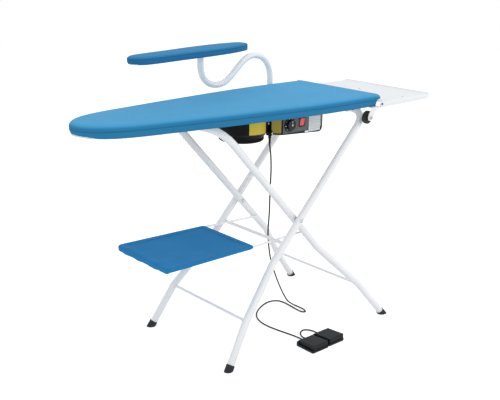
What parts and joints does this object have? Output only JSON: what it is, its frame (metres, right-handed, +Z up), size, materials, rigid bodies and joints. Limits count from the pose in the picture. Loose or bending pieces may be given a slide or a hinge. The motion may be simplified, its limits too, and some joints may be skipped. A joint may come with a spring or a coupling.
{
  "type": "vacuum ironing table",
  "caption": "Padded suction ironing board on folding scissor legs, with a blower and controls below, a sleeve board on a bent arm, an iron tray, a cloth shelf and foot switches.",
  "frame": {"origin": "on the floor, below the middle of the object's box measured without its cords", "axes": "+X along the board towards the iron tray, -Y towards the person who irons, +Z up"},
  "size_m": [1.494, 0.661, 1.064],
  "materials": {
    "frame_paint": "white powder coat, satin",
    "foot_rubber": "dull",
    "bolt_steel": "zinc plated",
    "shelf_cloth": "woven cloth",
    "board_cloth": "woven cotton",
    "sleeve_cloth": "woven cotton",
    "felt": "pressed felt",
    "plate_metal": "zinc plated sheet",
    "pan_metal": "white paint, satin",
    "heater_metal": "dark steel",
    "motor_black": "black paint, satin",
    "motor_metal": "bare casting",
    "fan_plastic": "moulded",
    "box_black": "fine texture",
    "panel_grey": "grey paint, satin",
    "dial_black": "moulded",
    "rocker_red": "translucent red, lit from behind",
    "tray_paint": "white powder coat, satin",
    "wheel_black": "moulded",
    "pedal_plastic": "fine texture",
    "treadle_plastic": "fine texture",
    "cord_black": "smooth cord sheath"
  },
  "bodies": {
    "outer_legs": {"outer_leg_near": "frame_paint", "outer_leg_far": "frame_paint", "outer_foot_near": "foot_rubber", "outer_foot_far": "foot_rubber", "outer_top_tube": "frame_paint", "outer_low_rod": "frame_paint", "shelf_rest_tube": "frame_paint", "pivot_bolt_near": "bolt_steel", "pivot_bolt_far": "bolt_steel", "pedal_base_left": "pedal_plastic", "pedal_base_right": "pedal_plastic", "pedal_switch_left": "box_black", "pedal_switch_right": "box_black", "link_cord": "cord_black"},
    "inner_legs": {"inner_leg_near": "frame_paint", "inner_leg_far": "frame_paint", "inner_foot_near": "foot_rubber", "inner_foot_far": "foot_rubber", "inner_top_tube": "frame_paint", "inner_low_rod": "frame_paint", "pivot_washer_near": "bolt_steel", "pivot_washer_far": "bolt_steel"},
    "shelf": {"shelf_wire": "frame_paint", "shelf_cross_wire": "frame_paint", "shelf_cloth": "shelf_cloth"},
    "table_top": {"board_cover": "board_cloth", "board_pad": "felt", "suction_plate": "plate_metal", "board_pan": "pan_metal", "heating_element": "heater_metal", "height_rack": "plate_metal", "blower_housing": "motor_black", "blower_cap": "motor_black", "blower_motor": "motor_metal", "blower_strap": "motor_black", "control_box": "box_black", "control_panel": "panel_grey", "cord_gland": "box_black", "mains_gland": "box_black", "iron_tray": "tray_paint", "arm_socket": "tray_paint", "hinge_clip_near": "plate_metal", "hinge_clip_far": "plate_metal", "tray_bracket_near": "tray_paint", "tray_bracket_far": "tray_paint", "wheel_axle_near": "bolt_steel", "wheel_axle_far": "bolt_steel", "pedal_cord": "cord_black"},
    "fan": {"blower_fan": "fan_plastic"},
    "dial": {"dial_knob": "dial_black"},
    "rocker": {"power_rocker": "rocker_red"},
    "sleeve": {"sleeve_arm": "frame_paint", "sleeve_cover": "sleeve_cloth", "sleeve_pad": "felt", "sleeve_plate": "pan_metal"},
    "wheel_near": {"transport_wheel_near": "wheel_black"},
    "wheel_far": {"transport_wheel_far": "wheel_black"},
    "treadle_left": {"pedal_treadle_left": "treadle_plastic"},
    "treadle_right": {"pedal_treadle_right": "treadle_plastic"}
  },
  "joints": [
    {"name": "leg_fold", "type": "hinge", "parent": "outer_legs", "child": "inner_legs", "pos_m": [0.0785, 0.00549, 0.465], "axis": [0, -1, 0], "range_deg": [0, 76]},
    {"name": "table_tilt", "type": "hinge", "parent": "outer_legs", "child": "table_top", "pos_m": [0.4196, 0.00549, 0.834], "axis": [0, -1, 0], "range_deg": [0, 38], "deforming": ["pedal_cord"]},
    {"name": "shelf_fold", "type": "hinge", "parent": "inner_legs", "child": "shelf", "pos_m": [0.14806, 0.00549, 0.3904], "axis": [0, -1, 0], "range_deg": [-38, 0]},
    {"name": "sleeve_swivel", "type": "hinge", "parent": "table_top", "child": "sleeve", "pos_m": [0.3035, 0.24549, 0.8065], "axis": [0, 0, 1], "range_deg": [-90, 90]},
    {"name": "wheel_near_spin", "type": "hinge", "parent": "table_top", "child": "wheel_near", "pos_m": [0.395, -0.22151, 0.8185], "axis": [0, 1, 0], "continuous": true},
    {"name": "wheel_far_spin", "type": "hinge", "parent": "table_top", "child": "wheel_far", "pos_m": [0.395, 0.23249, 0.8185], "axis": [0, 1, 0], "continuous": true},
    {"name": "dial_turn", "type": "hinge", "parent": "table_top", "child": "dial", "pos_m": [0.064, -0.11951, 0.818], "axis": [0, 1, 0], "range_deg": [0, 270]},
    {"name": "rocker_tilt", "type": "hinge", "parent": "table_top", "child": "rocker", "pos_m": [0.1255, -0.11781, 0.8215], "axis": [-1, 0, 0], "range_deg": [0, 14]},
    {"name": "fan_spin", "type": "hinge", "parent": "table_top", "child": "fan", "pos_m": [-0.0565, 0.00549, 0.7775], "axis": [0, 0, 1], "continuous": true},
    {"name": "treadle_left_press", "type": "hinge", "parent": "outer_legs", "child": "treadle_left", "pos_m": [0.059, -0.24951, 0.0152], "axis": [1, 0, 0], "range_deg": [0, 2], "stiffness_Nm_per_rad": 2, "springref_deg": -1.72},
    {"name": "treadle_right_press", "type": "hinge", "parent": "outer_legs", "child": "treadle_right", "pos_m": [0.1475, -0.24651, 0.0152], "axis": [1, 0, 0], "range_deg": [0, 2], "stiffness_Nm_per_rad": 2, "springref_deg": -1.72}
  ],
  "couplings": [
    {"joint": "table_tilt", "follows": "leg_fold", "ratio": 0.5},
    {"joint": "shelf_fold", "follows": "leg_fold", "ratio": -0.5}
  ]
}
